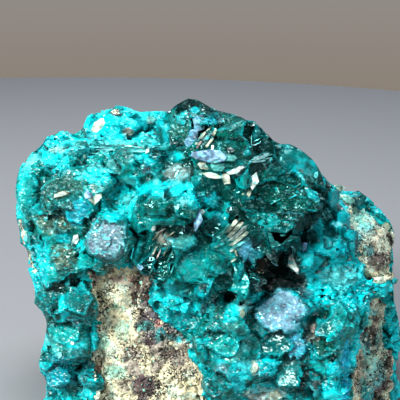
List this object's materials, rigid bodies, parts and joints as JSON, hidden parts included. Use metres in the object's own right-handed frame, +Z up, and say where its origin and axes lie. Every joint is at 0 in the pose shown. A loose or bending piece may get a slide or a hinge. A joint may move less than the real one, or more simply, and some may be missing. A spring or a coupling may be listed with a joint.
{
  "type": "dioptase crystal specimen",
  "caption": "Loose hand specimen: glassy blue-green dioptase crystals on a lump of pale host rock with a turquoise crust, and a flat base to rest on.",
  "frame": {"origin": "middle of the bounding box, on the flat base it rests on", "axes": "+X to the right as the picture sees it, +Y away from its camera, +Z up"},
  "size_m": [0.0696, 0.0502, 0.0521],
  "materials": {
    "host_rock": "rough",
    "crust": "matte, drusy",
    "dioptase": "glassy, translucent"
  },
  "bodies": {
    "root": {"host_rock": "host_rock", "dioptase_crown": "dioptase", "dioptase_left": "dioptase", "dioptase_lower_right": "dioptase", "dioptase_ridge": "dioptase", "dioptase_left_side": "dioptase", "dioptase_back_left": "dioptase", "dioptase_back_middle": "dioptase", "dioptase_back_foot": "dioptase", "dioptase_back_right": "dioptase", "dioptase_right_side": "dioptase"}
  },
  "joints": []
}
